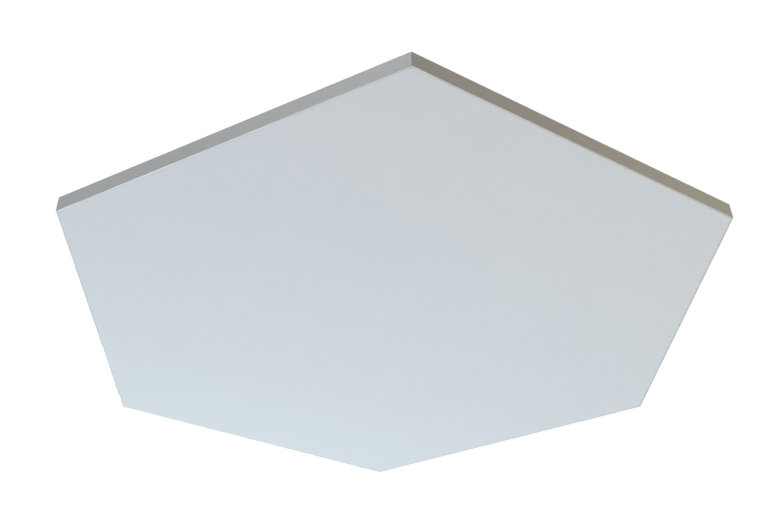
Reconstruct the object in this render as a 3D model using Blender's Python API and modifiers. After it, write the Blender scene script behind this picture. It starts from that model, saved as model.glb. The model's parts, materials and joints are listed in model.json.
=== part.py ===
"""Hexagonal acoustic ceiling panel, hung face down.

Six mitred aluminium rails make the frame. Each rail is one extrusion: a keder groove at the front edge, a
chamber for the corner cleats behind it, a lower chamber, and a ledge that reaches inwards. An acoustic
textile covers the front and is held by silicone keder strips in the grooves. Two half-hexagon absorber
boards lie on the ledges and on an inverted T bar across the middle. Three plates with swinging D rings on
the back take the suspension.

Metres, +Z up. The origin is the centre of the frame's back plane, and the front faces -Z. A rail's section
is drawn in (u, w): u runs inwards from the rail's outer face, w runs back from the front plane.
"""

import math

import bmesh
import bpy
from mathutils import Matrix, Vector

# Overall size
SIDES = 6
CORNER_RADIUS = 0.600        # centre to corner, so 1200 mm across the corners
FRAME_DEPTH = 0.028          # front plane to back plane

# Clearances
GAP = 0.0003                 # between pieces that touch
MITRE_GAP = 0.0003           # between the cut ends of neighbouring rails
TOLERANCE = 1e-5             # for finding a point of the model again

# Rail extrusion
RAIL_WALL = 0.0016
RAIL_WIDTH = 0.0140          # width of the two chambers with their walls
GROOVE_WIDTH = 0.0040
GROOVE_DEPTH = 0.0152
LEDGE_SETBACK = 0.0030       # front plane to the ledge's underside
LEDGE_REACH = 0.0120
ARRIS = 0.0004               # small flat on the long outer edges

# Textile and keder
TEXTILE_THICKNESS = 0.0005
TEXTILE_FOLD = 0.0005        # radius where the textile turns into the groove
HEM_PLAY = 0.0048            # groove left free behind the hem
KEDER_ROOT_PLAY = 0.0012     # groove left free behind the keder
KEDER_RIBS = 5
KEDER_RIB_HEIGHT = 0.0006
KEDER_RIB_RAMP = 0.3         # shares of a rib's pitch, front to back: its ramp,
KEDER_RIB_LAND = 0.2         # its flat top
KEDER_RIB_DROP = 0.1         # and its steep back

# Corner cleat and its set screws
CLEAT_LEG = 0.0450           # along the outer side, from the corner
CLEAT_LEAD = 0.0016          # chamfer at the leg's end
CLEAT_SCREW_INSET = 0.0140   # leg's end to the set screw
SET_SCREW_RADIUS = 0.0025
SET_SCREW_LENGTH = 0.0080
SET_SOCKET_WIDTH = 0.0025    # hexagon socket, across flats
SET_SOCKET_DEPTH = 0.0030
ACCESS_PLAY = 0.0006         # radius of the hole in the rail's back, past the set screw

# Absorber boards and cross bar
BOARD_RECESS = 0.0031        # frame's back plane to the board's back
BAR_WALL = 0.0016
BAR_WIDTH = 0.0300
BAR_RECESS = 0.0020          # board's back to the top of the bar's web

# Angle bracket at each end of the cross bar
BRACKET_WALL = 0.0016
BRACKET_LEG = 0.0180
BRACKET_HEIGHT = 0.0120

# Button-head screws
SCREW_RADIUS = 0.0020
SCREW_HEAD_RADIUS = 0.0038
SCREW_HEAD_HEIGHT = 0.0022
SCREW_HEAD_LAND = 0.0019     # radius of the flat round the socket
SCREW_HEAD_RIM = 0.0008      # straight height of the head's edge
SCREW_SOCKET_WIDTH = 0.0025
SCREW_SOCKET_DEPTH = 0.0012
SCREW_POINT = 0.0012         # length of the tapered point
SCREW_TIP_PLAY = 0.0018      # screw's tip to the far wall of the chamber

# Hanger plate and D ring
STRAP_THICKNESS = 0.0015
HANGER_INSET = 0.0015        # plate's edges inside the rail's back face
HANGER_END_MARGIN = 0.0070   # plate's end to the screw
HANGER_CORNER = 0.0030       # radius of the plate's outer corners
TONGUE_FILLET = 0.0015       # radius where the tongue leaves the plate
TONGUE_REACH = 0.0060        # rail's inner wall to the knuckle's axis
TONGUE_SIDE_PLAY = 0.0020    # knuckle's end to the ring's leg
RING_SCREW_PLAY = 0.0042     # ring, folded outwards, to the screw's head
RING_WIRE = 0.0040
RING_INNER_WIDTH = 0.0240
RING_LEG = 0.0130            # straight part of the ring's legs
KNUCKLE_TURN = math.radians(295)

# Facets
HOLE_SEGMENTS = 16
SCREW_SEGMENTS = 16
KNUCKLE_SEGMENTS = 14
RING_BEND_SEGMENTS = 4
RING_ARC_SEGMENTS = 14
CORNER_SEGMENTS = 3

# Worked out from the values above
SIDE_ANGLE = 2.0 * math.pi / SIDES
HALF_ANGLE = SIDE_ANGLE / 2.0
APOTHEM = CORNER_RADIUS * math.cos(HALF_ANGLE)
LEDGE_TOP = LEDGE_SETBACK + RAIL_WALL
GROOVE_WALL_END = RAIL_WALL + GROOVE_WIDTH + RAIL_WALL
CHAMBER_FLOOR = GROOVE_DEPTH + RAIL_WALL
CHAMBER_TOP = FRAME_DEPTH - RAIL_WALL
CHAMBER_INNER = RAIL_WIDTH - RAIL_WALL
CHAMBER_MIDDLE = (RAIL_WALL + CHAMBER_INNER) / 2.0
SCREW_LEVEL = (LEDGE_TOP + GROOVE_DEPTH) / 2.0
CLEAT_END = APOTHEM * math.tan(HALF_ANGLE) - CLEAT_LEG
SET_SCREW_PLACE = CLEAT_END + CLEAT_SCREW_INSET
BOARD_BOTTOM = LEDGE_TOP + GAP
BOARD_TOP = FRAME_DEPTH - BOARD_RECESS
WEB_FACE = BAR_WALL / 2.0
BRACKET_START = WEB_FACE + GAP
BRACKET_SCREW_PLACE = (BRACKET_LEG + BRACKET_WALL) / 2.0
RING_WIRE_RADIUS = RING_WIRE / 2.0
RING_HALF_WIDTH = RING_INNER_WIDTH / 2.0 + RING_WIRE_RADIUS
RING_BEND = TONGUE_SIDE_PLAY + RING_WIRE_RADIUS - GAP
RING_REACH = RING_BEND + RING_LEG + RING_HALF_WIDTH
KNUCKLE_INNER = RING_WIRE_RADIUS + GAP
KNUCKLE_OUTER = KNUCKLE_INNER + STRAP_THICKNESS
KNUCKLE_U = RAIL_WIDTH + TONGUE_REACH
KNUCKLE_W = FRAME_DEPTH + GAP + KNUCKLE_OUTER
TONGUE_HALF_WIDTH = RING_INNER_WIDTH / 2.0 - TONGUE_SIDE_PLAY
HANGER_SCREW_PLACE = RING_HALF_WIDTH + RING_WIRE_RADIUS + RING_SCREW_PLAY + SCREW_HEAD_RADIUS
RING_TILT = math.asin((KNUCKLE_W - RING_WIRE_RADIUS - GAP - BOARD_TOP) / RING_REACH)

BAR_SIDES = (0, 3)           # rails that the cross bar runs between
HANGER_SIDES = (1, 3, 5)     # every other rail carries a hanger


def clear_scene():
    for item in list(bpy.data.objects):
        bpy.data.objects.remove(item, do_unlink=True)


def new_collection(name):
    collection = bpy.data.collections.new(name)
    bpy.context.scene.collection.children.link(collection)
    return collection


def new_material(name, colour, metallic, roughness):
    material = bpy.data.materials.new(name)
    material.use_nodes = True
    shader = material.node_tree.nodes["Principled BSDF"]
    shader.inputs["Base Color"].default_value = (*colour, 1.0)
    shader.inputs["Metallic"].default_value = metallic
    shader.inputs["Roughness"].default_value = roughness
    material.diffuse_color = (*colour, 1.0)
    return material


def add_part(name, mesh, material, parent=None):
    """One named sub-part, in the panel's collection."""
    part = bpy.data.objects.new(name, mesh)
    if not mesh.materials:
        mesh.materials.append(material)
    part.parent = parent
    PARTS.objects.link(part)
    return part


def add_cutter(name, mesh, parent=None):
    """A guide solid that only cuts."""
    cutter = bpy.data.objects.new(name, mesh)
    cutter.hide_render = True
    cutter.display_type = "WIRE"
    cutter.parent = parent
    CUTTERS.objects.link(cutter)
    return cutter


def subtract(part, cutter):
    cut = part.modifiers.new("cut_" + cutter.name, "BOOLEAN")
    cut.operation = "DIFFERENCE"
    cut.solver = "EXACT"
    cut.object = cutter


def evaluated_mesh(source, name):
    """A plain mesh of an object as its modifiers leave it. The object is removed."""
    bpy.context.view_layer.update()
    depsgraph = bpy.context.evaluated_depsgraph_get()
    mesh = bpy.data.meshes.new_from_object(source.evaluated_get(depsgraph))
    mesh.name = name
    bpy.data.objects.remove(source, do_unlink=True)
    return mesh


def weld(mesh):
    shape = bmesh.new()
    shape.from_mesh(mesh)
    bmesh.ops.remove_doubles(shape, verts=shape.verts, dist=1e-6)
    shape.to_mesh(mesh)
    shape.free()
    return mesh


def outline_mesh(name, loops, thickness):
    """A flat outline, with a hole for each loop after the first, thickened evenly about its plane."""
    curve = bpy.data.curves.new(name, "CURVE")
    curve.dimensions = "2D"
    curve.fill_mode = "BOTH"
    curve.extrude = thickness / 2.0
    for loop in loops:
        spline = curve.splines.new("POLY")
        spline.points.add(len(loop) - 1)
        spline.use_cyclic_u = True
        for point, (x, y) in zip(spline.points, loop):
            point.co = (x, y, 0.0, 1.0)
    guide = bpy.data.objects.new(name, curve)
    CUTTERS.objects.link(guide)
    mesh = weld(evaluated_mesh(guide, name))
    bpy.data.curves.remove(curve)
    return mesh


def arc(centre, radius, start, end, segments):
    """Points along an arc, both ends included."""
    step = (end - start) / segments
    return [(centre[0] + radius * math.cos(start + step * i), centre[1] + radius * math.sin(start + step * i))
            for i in range(segments + 1)]


def cylinders_mesh(name, cylinders):
    """Cylinders in one mesh, each given as (radius, length, segments, matrix)."""
    shape = bmesh.new()
    for radius, length, segments, matrix in cylinders:
        bmesh.ops.create_cone(shape, cap_ends=True, segments=segments, radius1=radius, radius2=radius,
                              depth=length, matrix=matrix)
    mesh = bpy.data.meshes.new(name)
    shape.to_mesh(mesh)
    shape.free()
    return mesh


def boxes_mesh(name, boxes):
    """Boxes in one mesh, each given as its lowest and highest corner."""
    shape = bmesh.new()
    for low, high in boxes:
        size = [b - a for a, b in zip(low, high)]
        middle = [(a + b) / 2.0 for a, b in zip(low, high)]
        place = Matrix.Translation(middle) @ Matrix.Diagonal((*size, 1.0))
        bmesh.ops.create_cube(shape, size=1.0, matrix=place)
    mesh = bpy.data.meshes.new(name)
    shape.to_mesh(mesh)
    shape.free()
    return mesh


def shade_round(mesh):
    mesh.shade_smooth()
    mesh.set_sharp_from_angle(angle=math.radians(40))
    return mesh


def side_point(u, s, w):
    """A point beside the first rail: u inwards, s along the rail, w back from the front."""
    return (APOTHEM - u, s, w - FRAME_DEPTH)


def across(u, s, w):
    """Placement of something whose own Z points outwards through the rail."""
    return Matrix.Translation(side_point(u, s, w)) @ Matrix.Rotation(math.pi / 2.0, 4, "Y")


def upright(u, s, w):
    return Matrix.Translation(side_point(u, s, w))


def mitred_bar(name, loops):
    """A section swept along one side of the hexagon, its ends cut on the planes through the corners."""
    mesh = outline_mesh(name, loops, CORNER_RADIUS)
    cut_back = MITRE_GAP / 2.0 / math.cos(HALF_ANGLE)
    for vertex in mesh.vertices:
        u, w, along = vertex.co
        end = (APOTHEM - u) * math.tan(HALF_ANGLE) - cut_back
        vertex.co = side_point(u, math.copysign(end, along), w)
    return mesh


def rail_section():
    groove_end = RAIL_WALL + GROOVE_WIDTH
    nose = TEXTILE_THICKNESS + GAP
    ledge_end = RAIL_WIDTH + LEDGE_REACH
    outside = [
        (ARRIS, 0.0), (0.0, ARRIS), (0.0, FRAME_DEPTH - ARRIS), (ARRIS, FRAME_DEPTH),
        (RAIL_WIDTH, FRAME_DEPTH), (RAIL_WIDTH, LEDGE_TOP), (ledge_end, LEDGE_TOP),
        (ledge_end, LEDGE_SETBACK), (GROOVE_WALL_END, LEDGE_SETBACK),
        (GROOVE_WALL_END, nose + ARRIS), (GROOVE_WALL_END - ARRIS, nose), (groove_end, nose),
        (groove_end, GROOVE_DEPTH), (RAIL_WALL, GROOVE_DEPTH), (RAIL_WALL, 0.0),
    ]
    cleat_chamber = [(RAIL_WALL, CHAMBER_FLOOR), (CHAMBER_INNER, CHAMBER_FLOOR),
                     (CHAMBER_INNER, CHAMBER_TOP), (RAIL_WALL, CHAMBER_TOP)]
    lower_chamber = [(GROOVE_WALL_END, LEDGE_TOP), (CHAMBER_INNER, LEDGE_TOP),
                     (CHAMBER_INNER, GROOVE_DEPTH), (GROOVE_WALL_END, GROOVE_DEPTH)]
    return [outside, cleat_chamber, lower_chamber]


def keder_section():
    """A flat strip with ribs that grip the groove's inner wall."""
    outer = RAIL_WALL + GAP + TEXTILE_THICKNESS + GAP
    tip = RAIL_WALL + GROOVE_WIDTH - GAP
    root = tip - KEDER_RIB_HEIGHT
    front = TEXTILE_THICKNESS + 2.0 * GAP
    back = GROOVE_DEPTH - KEDER_ROOT_PLAY
    pitch = (back - front) / (KEDER_RIBS + 1)
    section = [(outer, front), (root, front)]
    for rib in range(KEDER_RIBS):
        start = front + pitch * (rib + 0.5)
        land = start + pitch * KEDER_RIB_RAMP
        drop = land + pitch * KEDER_RIB_LAND
        section += [(root, start), (tip, land), (tip, drop), (root, drop + pitch * KEDER_RIB_DROP)]
    section += [(root, back), (outer, back)]
    return [section]


def make_rail(number, side, material, section_mesh):
    """A rail with the holes that its place needs."""
    rail = add_part(f"frame_rail_{number + 1}", section_mesh.copy(), material, side)
    depth = RAIL_WALL * 2.0
    back = FRAME_DEPTH - RAIL_WALL / 2.0
    holes = []
    for end in (-1, 1):
        holes.append((SET_SCREW_RADIUS + ACCESS_PLAY, depth, HOLE_SEGMENTS,
                      upright(CHAMBER_MIDDLE, end * SET_SCREW_PLACE, back)))
    if number in HANGER_SIDES:
        for end in (-1, 1):
            holes.append((SCREW_RADIUS + GAP, depth, HOLE_SEGMENTS,
                          upright(CHAMBER_MIDDLE, end * HANGER_SCREW_PLACE, back)))
    if number in BAR_SIDES:
        holes.append((SCREW_RADIUS + GAP, depth, HOLE_SEGMENTS,
                      across(RAIL_WIDTH - RAIL_WALL / 2.0, BRACKET_START + BRACKET_SCREW_PLACE, SCREW_LEVEL)))
    name = f"rail_holes_{number + 1}"
    subtract(rail, add_cutter(name, cylinders_mesh(name, holes), side))
    return rail


def cleat_outline():
    """A bent bar in plan, round the corner between the first rail and the next."""
    outer = APOTHEM - RAIL_WALL - GAP
    inner = APOTHEM - CHAMBER_INNER + GAP
    leg = [(outer, CLEAT_END + CLEAT_LEAD), (outer - CLEAT_LEAD, CLEAT_END),
           (inner + CLEAT_LEAD, CLEAT_END), (inner, CLEAT_END + CLEAT_LEAD)]
    turn = Matrix.Rotation(SIDE_ANGLE, 2)
    mirrored = [tuple(turn @ Vector((x, -y))) for x, y in reversed(leg)]
    slope = math.tan(HALF_ANGLE)
    return [[(outer, outer * slope)] + leg + [(inner, inner * slope)] + mirrored]


def make_cleats(sides, material):
    floor = CHAMBER_FLOOR + GAP
    height = CHAMBER_TOP - GAP - floor
    middle = Matrix.Translation((0.0, 0.0, floor + height / 2.0 - FRAME_DEPTH))
    solid = outline_mesh("corner_cleat", cleat_outline(), height)
    solid.transform(middle)
    holes = []
    for turn, end in ((0.0, 1), (SIDE_ANGLE, -1)):
        place = upright(CHAMBER_MIDDLE, end * SET_SCREW_PLACE, floor + height / 2.0)
        turned = Matrix.Rotation(turn, 4, "Z") @ place
        holes.append((SET_SCREW_RADIUS + GAP, height * 2.0, HOLE_SEGMENTS, turned))
    hole_mesh = cylinders_mesh("cleat_holes", holes)
    for number, side in enumerate(sides):
        cleat = add_part(f"corner_cleat_{number + 1}", solid, material, side)
        subtract(cleat, add_cutter(f"cleat_holes_{number + 1}", hole_mesh, side))


def hexagon_socket(name, width, depth, top):
    """A cutter for a hexagon socket that opens at the given height."""
    radius = width / 2.0 / math.cos(math.pi / 6.0)
    place = Matrix.Translation((0.0, 0.0, top))
    return add_cutter(name, cylinders_mesh(name, [(radius, depth * 2.0, 6, place)]))


def set_screw_mesh():
    """A headless screw with a socket at its top. It stands on z = 0."""
    body = cylinders_mesh("set_screw", [(SET_SCREW_RADIUS, SET_SCREW_LENGTH, SCREW_SEGMENTS,
                                         Matrix.Translation((0.0, 0.0, SET_SCREW_LENGTH / 2.0)))])
    blank = add_cutter("set_screw_blank", body)
    socket = hexagon_socket("set_screw_socket", SET_SOCKET_WIDTH, SET_SOCKET_DEPTH, SET_SCREW_LENGTH)
    subtract(blank, socket)
    mesh = evaluated_mesh(blank, "set_screw")
    bpy.data.objects.remove(socket, do_unlink=True)
    return shade_round(mesh)


def button_screw_mesh(name, length):
    """A domed head above z = 0 and a shank below it, turned about Z, with a hexagon socket."""
    dome = [(SCREW_HEAD_LAND + (SCREW_HEAD_RADIUS - SCREW_HEAD_LAND) * math.sin(turn),
             SCREW_HEAD_RIM + (SCREW_HEAD_HEIGHT - SCREW_HEAD_RIM) * math.cos(turn))
            for turn in (0.0, math.pi / 6.0, math.pi / 3.0, math.pi / 2.0)]
    profile = [(0.0, SCREW_HEAD_HEIGHT)] + dome
    profile += [(SCREW_HEAD_RADIUS, 0.0), (SCREW_RADIUS, 0.0), (SCREW_RADIUS, SCREW_POINT - length),
                (SCREW_RADIUS / 2.0, -length), (0.0, -length)]
    half = bpy.data.meshes.new(name)
    half.from_pydata([(x, 0.0, z) for x, z in profile], [(i, i + 1) for i in range(len(profile) - 1)], [])
    blank = add_cutter(name + "_blank", half)
    turn = blank.modifiers.new("turn", "SCREW")
    turn.steps = SCREW_SEGMENTS
    turn.render_steps = SCREW_SEGMENTS
    turn.use_merge_vertices = True
    turn.merge_threshold = 1e-5
    socket = hexagon_socket(name + "_socket", SCREW_SOCKET_WIDTH, SCREW_SOCKET_DEPTH, SCREW_HEAD_HEIGHT)
    subtract(blank, socket)
    mesh = evaluated_mesh(blank, name)
    bpy.data.objects.remove(socket, do_unlink=True)
    return shade_round(mesh)


def make_set_screws(sides, material):
    mesh = set_screw_mesh()
    for number, side in enumerate(sides):
        for letter, end in (("a", -1), ("b", 1)):
            screw = add_part(f"cleat_screw_{number + 1}{letter}", mesh, material, side)
            screw.location = side_point(CHAMBER_MIDDLE, end * SET_SCREW_PLACE, CHAMBER_FLOOR + GAP)


def make_textile(material):
    """A shallow tray: the stretched face, with a hem that turns back into the grooves."""
    radius = (APOTHEM - RAIL_WALL - GAP) / math.cos(HALF_ANGLE)
    hem = GROOVE_DEPTH - HEM_PLAY
    shape = bmesh.new()
    bmesh.ops.create_cone(shape, cap_ends=True, segments=SIDES, radius1=radius, radius2=radius, depth=hem)
    back = [face for face in shape.faces if face.normal.z > 0.5]
    bmesh.ops.delete(shape, geom=back, context="FACES_ONLY")
    front = [edge for edge in shape.edges if all(vertex.co.z < 0.0 for vertex in edge.verts)]
    fold = [edge for edge in front if len(edge.link_faces) == 2]
    bmesh.ops.bevel(shape, geom=fold, offset=TEXTILE_FOLD, segments=2, profile=0.5, affect="EDGES")
    mesh = bpy.data.meshes.new("face_textile")
    shape.to_mesh(mesh)
    shape.free()
    textile = add_part("face_textile", mesh, material)
    textile.location.z = hem / 2.0 - FRAME_DEPTH
    thicken = textile.modifiers.new("thickness", "SOLIDIFY")
    thicken.thickness = TEXTILE_THICKNESS
    thicken.offset = -1.0
    thicken.use_even_offset = True
    return textile


def make_boards(material):
    """Two half-hexagon boards, with their inner corners cut away round the bar's brackets."""
    apothem = APOTHEM - RAIL_WIDTH - GAP
    corner = apothem / math.cos(HALF_ANGLE)
    straight = WEB_FACE + GAP
    notch_x = apothem - BRACKET_LEG - GAP
    notch_y = BRACKET_START + BRACKET_LEG + GAP
    right = [(notch_x, straight), (notch_x, notch_y), (apothem, notch_y), (apothem, corner / 2.0)]
    outline = right + [(0.0, corner)] + [(-x, y) for x, y in reversed(right)]
    thickness = BOARD_TOP - BOARD_BOTTOM
    mesh = outline_mesh("absorber_board", [outline], thickness)
    for number in range(2):
        board = add_part(f"absorber_board_{number + 1}", mesh, material)
        board.location.z = BOARD_BOTTOM + thickness / 2.0 - FRAME_DEPTH
        board.rotation_euler.z = math.pi * (1 - number)


def make_cross_bar(material):
    """An inverted T between two opposite rails. Its flange stops at their ledges, its web at their walls."""
    top = BOARD_TOP - BAR_RECESS
    bottom = LEDGE_TOP - BAR_WALL
    half = BAR_WIDTH / 2.0
    section = [(-half, bottom), (half, bottom), (half, LEDGE_TOP), (WEB_FACE, LEDGE_TOP), (WEB_FACE, top),
               (-WEB_FACE, top), (-WEB_FACE, LEDGE_TOP), (-half, LEDGE_TOP)]
    end = APOTHEM - RAIL_WIDTH - GAP
    mesh = outline_mesh("cross_bar", [section], 2.0 * end)
    mesh.transform(Matrix(((0, 0, 1, 0), (1, 0, 0, 0), (0, 1, 0, -FRAME_DEPTH), (0, 0, 0, 1))))
    bar = add_part("cross_bar", mesh, material)
    flange_end = APOTHEM - RAIL_WIDTH - LEDGE_REACH - GAP
    cope = []
    holes = []
    for direction in (-1, 1):
        ends = sorted((direction * flange_end, direction * (end + LEDGE_REACH)))
        cope.append(((ends[0], -BAR_WIDTH, bottom - BAR_WALL - FRAME_DEPTH),
                     (ends[1], BAR_WIDTH, BOARD_BOTTOM - FRAME_DEPTH)))
        place = Matrix.Translation((direction * (end - BRACKET_SCREW_PLACE), 0.0, SCREW_LEVEL - FRAME_DEPTH))
        holes.append((SCREW_RADIUS + GAP, BAR_WALL * 2.0, HOLE_SEGMENTS,
                      place @ Matrix.Rotation(math.pi / 2.0, 4, "X")))
    subtract(bar, add_cutter("bar_cope", boxes_mesh("bar_cope", cope)))
    subtract(bar, add_cutter("bar_holes", cylinders_mesh("bar_holes", holes)))


def make_brackets(sides, plate_material, screw_material):
    """An angle at each end of the bar: one leg on the rail's wall, the other on the bar's web."""
    wall = APOTHEM - RAIL_WIDTH - GAP
    start = BRACKET_START
    outline = [(wall, start), (wall, start + BRACKET_LEG), (wall - BRACKET_WALL, start + BRACKET_LEG),
               (wall - BRACKET_WALL, start + BRACKET_WALL), (wall - BRACKET_LEG, start + BRACKET_WALL),
               (wall - BRACKET_LEG, start)]
    mesh = outline_mesh("bar_bracket", [outline], BRACKET_HEIGHT)
    mesh.transform(Matrix.Translation((0.0, 0.0, BOARD_BOTTOM + BRACKET_HEIGHT / 2.0 - FRAME_DEPTH)))
    rail_screw_place = across(RAIL_WIDTH, start + BRACKET_SCREW_PLACE, SCREW_LEVEL)
    web_screw_place = (Matrix.Translation((wall - BRACKET_SCREW_PLACE, start, SCREW_LEVEL - FRAME_DEPTH))
                       @ Matrix.Rotation(math.pi / 2.0, 4, "X"))
    hole = (SCREW_RADIUS + GAP, BRACKET_WALL * 3.0, HOLE_SEGMENTS)
    hole_mesh = cylinders_mesh("bracket_holes", [(*hole, rail_screw_place), (*hole, web_screw_place)])

    head_gap = BRACKET_WALL + GAP
    reach = CHAMBER_INNER - GROOVE_WALL_END - SCREW_TIP_PLAY
    rail_screw = button_screw_mesh("rail_screw", head_gap + GAP + RAIL_WALL + reach)
    web_screw = button_screw_mesh("web_screw", head_gap + GAP + BAR_WALL + reach)
    into_rail = Matrix.Rotation(-math.pi / 2.0, 4, "Y")
    into_web = Matrix.Rotation(-math.pi / 2.0, 4, "X")
    for number, place in enumerate(BAR_SIDES):
        side = sides[place]
        bracket = add_part(f"bar_bracket_{number + 1}", mesh, plate_material, side)
        subtract(bracket, add_cutter(f"bracket_holes_{number + 1}", hole_mesh, side))
        screw = add_part(f"bracket_rail_screw_{number + 1}", rail_screw, screw_material, side)
        seat = (wall - head_gap, start + BRACKET_SCREW_PLACE, SCREW_LEVEL - FRAME_DEPTH)
        screw.matrix_local = Matrix.Translation(seat) @ into_rail
        screw = add_part(f"bracket_web_screw_{number + 1}", web_screw, screw_material, side)
        seat = (wall - BRACKET_SCREW_PLACE, start + head_gap, SCREW_LEVEL - FRAME_DEPTH)
        screw.matrix_local = Matrix.Translation(seat) @ into_web


def hanger_outline():
    """Side view of the strap: flat on the rail, then rolled up and back round the ring's bar."""
    centre = (KNUCKLE_U, KNUCKLE_W)
    begin = -math.pi / 2.0
    end = begin + KNUCKLE_TURN
    outside = arc(centre, KNUCKLE_OUTER, begin, end, KNUCKLE_SEGMENTS)
    inside = arc(centre, KNUCKLE_INNER, end, begin, KNUCKLE_SEGMENTS)
    foot = KNUCKLE_W - KNUCKLE_OUTER
    return [[(HANGER_INSET, foot)] + outside + inside + [(HANGER_INSET, foot + STRAP_THICKNESS)]]


def round_upright_edges(mesh, corners, radius):
    """Rounds the edges that stand upright on the given points of the plan."""
    shape = bmesh.new()
    shape.from_mesh(mesh)
    chosen = []
    for edge in shape.edges:
        first, last = (vertex.co for vertex in edge.verts)
        level = (first - last).xy.length < TOLERANCE
        if level and any((first.xy - Vector(corner)).length < TOLERANCE for corner in corners):
            chosen.append(edge)
    bmesh.ops.bevel(shape, geom=chosen, offset=radius, segments=CORNER_SEGMENTS, profile=0.5, affect="EDGES")
    shape.to_mesh(mesh)
    shape.free()


def hanger_plate_mesh():
    """The strap's full width on the rail, narrowed to a tongue past it, with two screw holes."""
    half_length = HANGER_SCREW_PLACE + HANGER_END_MARGIN
    mesh = outline_mesh("hanger_plate", hanger_outline(), 2.0 * half_length)
    for vertex in mesh.vertices:
        u, w, along = vertex.co
        vertex.co = side_point(u, along, w)
    blank = add_cutter("hanger_blank", mesh)
    shoulder = RAIL_WIDTH - HANGER_INSET
    past = KNUCKLE_U + 2.0 * KNUCKLE_OUTER
    low = FRAME_DEPTH - STRAP_THICKNESS
    high = KNUCKLE_W + 2.0 * KNUCKLE_OUTER
    waste = []
    for direction in (-1, 1):
        a, b = sorted((direction * TONGUE_HALF_WIDTH, direction * half_length * 2.0))
        first = side_point(past, a, low)
        last = side_point(shoulder, b, high)
        waste.append((first, last))
    sides_cutter = add_cutter("hanger_waste", boxes_mesh("hanger_waste", waste))
    holes = [(SCREW_RADIUS + GAP, STRAP_THICKNESS * 4.0, HOLE_SEGMENTS,
              upright(CHAMBER_MIDDLE, end * HANGER_SCREW_PLACE, FRAME_DEPTH + GAP + STRAP_THICKNESS / 2.0))
             for end in (-1, 1)]
    holes_cutter = add_cutter("hanger_holes", cylinders_mesh("hanger_holes", holes))
    subtract(blank, sides_cutter)
    subtract(blank, holes_cutter)
    plate = evaluated_mesh(blank, "hanger_plate")
    ends = [side_point(u, end * half_length, 0.0)[:2] for u in (HANGER_INSET, shoulder) for end in (-1, 1)]
    roots = [side_point(shoulder, end * TONGUE_HALF_WIDTH, 0.0)[:2] for end in (-1, 1)]
    round_upright_edges(plate, ends, HANGER_CORNER)
    round_upright_edges(plate, roots, TONGUE_FILLET)
    for cutter in (sides_cutter, holes_cutter):
        bpy.data.objects.remove(cutter, do_unlink=True)
    return shade_round(plate)


def ring_mesh():
    """A D ring of round wire. Its straight bar lies on the joint's axis (Y), and the D reaches along -X."""
    bend = RING_BEND
    half = RING_HALF_WIDTH
    quarter = math.pi / 2.0
    loop = arc((-bend, -half + bend), bend, 0.0, -quarter, RING_BEND_SEGMENTS)
    loop += arc((-bend - RING_LEG, 0.0), half, -quarter, -3.0 * quarter, RING_ARC_SEGMENTS)
    loop += arc((-bend, half - bend), bend, quarter, 0.0, RING_BEND_SEGMENTS)
    curve = bpy.data.curves.new("hanger_ring", "CURVE")
    curve.dimensions = "3D"
    curve.bevel_depth = RING_WIRE_RADIUS
    curve.bevel_resolution = 2
    spline = curve.splines.new("POLY")
    spline.points.add(len(loop) - 1)
    spline.use_cyclic_u = True
    for point, (x, y) in zip(spline.points, loop):
        point.co = (x, y, 0.0, 1.0)
    guide = bpy.data.objects.new("ring_guide", curve)
    CUTTERS.objects.link(guide)
    return shade_round(weld(evaluated_mesh(guide, "hanger_ring")))


def make_hangers(sides, plate_material, ring_material, screw_material):
    plate_mesh = hanger_plate_mesh()
    wire_mesh = ring_mesh()
    reach = CHAMBER_TOP - CHAMBER_FLOOR - SCREW_TIP_PLAY
    under_head = GAP + STRAP_THICKNESS + GAP
    screw_mesh = button_screw_mesh("hanger_screw", under_head + RAIL_WALL + reach)
    for number, place in enumerate(HANGER_SIDES):
        side = sides[place]
        add_part(f"hanger_plate_{number + 1}", plate_mesh, plate_material, side)
        ring = add_part(f"hanger_ring_{number + 1}", wire_mesh, ring_material, side)
        ring.location = side_point(KNUCKLE_U, 0.0, KNUCKLE_W)
        ring.rotation_euler.y = -RING_TILT
        for letter, end in (("a", -1), ("b", 1)):
            screw = add_part(f"hanger_screw_{number + 1}{letter}", screw_mesh, screw_material, side)
            screw.location = side_point(CHAMBER_MIDDLE, end * HANGER_SCREW_PLACE, FRAME_DEPTH + under_head)


def make_sides():
    """An empty for each side of the hexagon, turned so that its X points out through that side."""
    sides = []
    for number in range(SIDES):
        side = bpy.data.objects.new(f"side_{number + 1}", None)
        side.rotation_euler.z = SIDE_ANGLE * number
        side.empty_display_size = CORNER_RADIUS / 10.0
        PARTS.objects.link(side)
        sides.append(side)
    return sides


clear_scene()
PARTS = new_collection("hexagonal_acoustic_panel")
CUTTERS = new_collection("cutters")

anodised = new_material("satin_anodised_aluminium", (0.42, 0.41, 0.40), 0.9, 0.45)
mill = new_material("mill_aluminium", (0.60, 0.60, 0.60), 1.0, 0.40)
zinc = new_material("zinc_plated_steel", (0.56, 0.57, 0.58), 1.0, 0.32)
dark_steel = new_material("black_oxide_steel", (0.05, 0.05, 0.055), 0.8, 0.45)
silicone = new_material("clear_grey_silicone", (0.62, 0.63, 0.63), 0.0, 0.45)
textile_white = new_material("pale_acoustic_textile", (0.62, 0.66, 0.69), 0.0, 0.90)
absorber_wool = new_material("absorber_with_back_tissue", (0.55, 0.53, 0.47), 0.0, 0.95)

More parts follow.
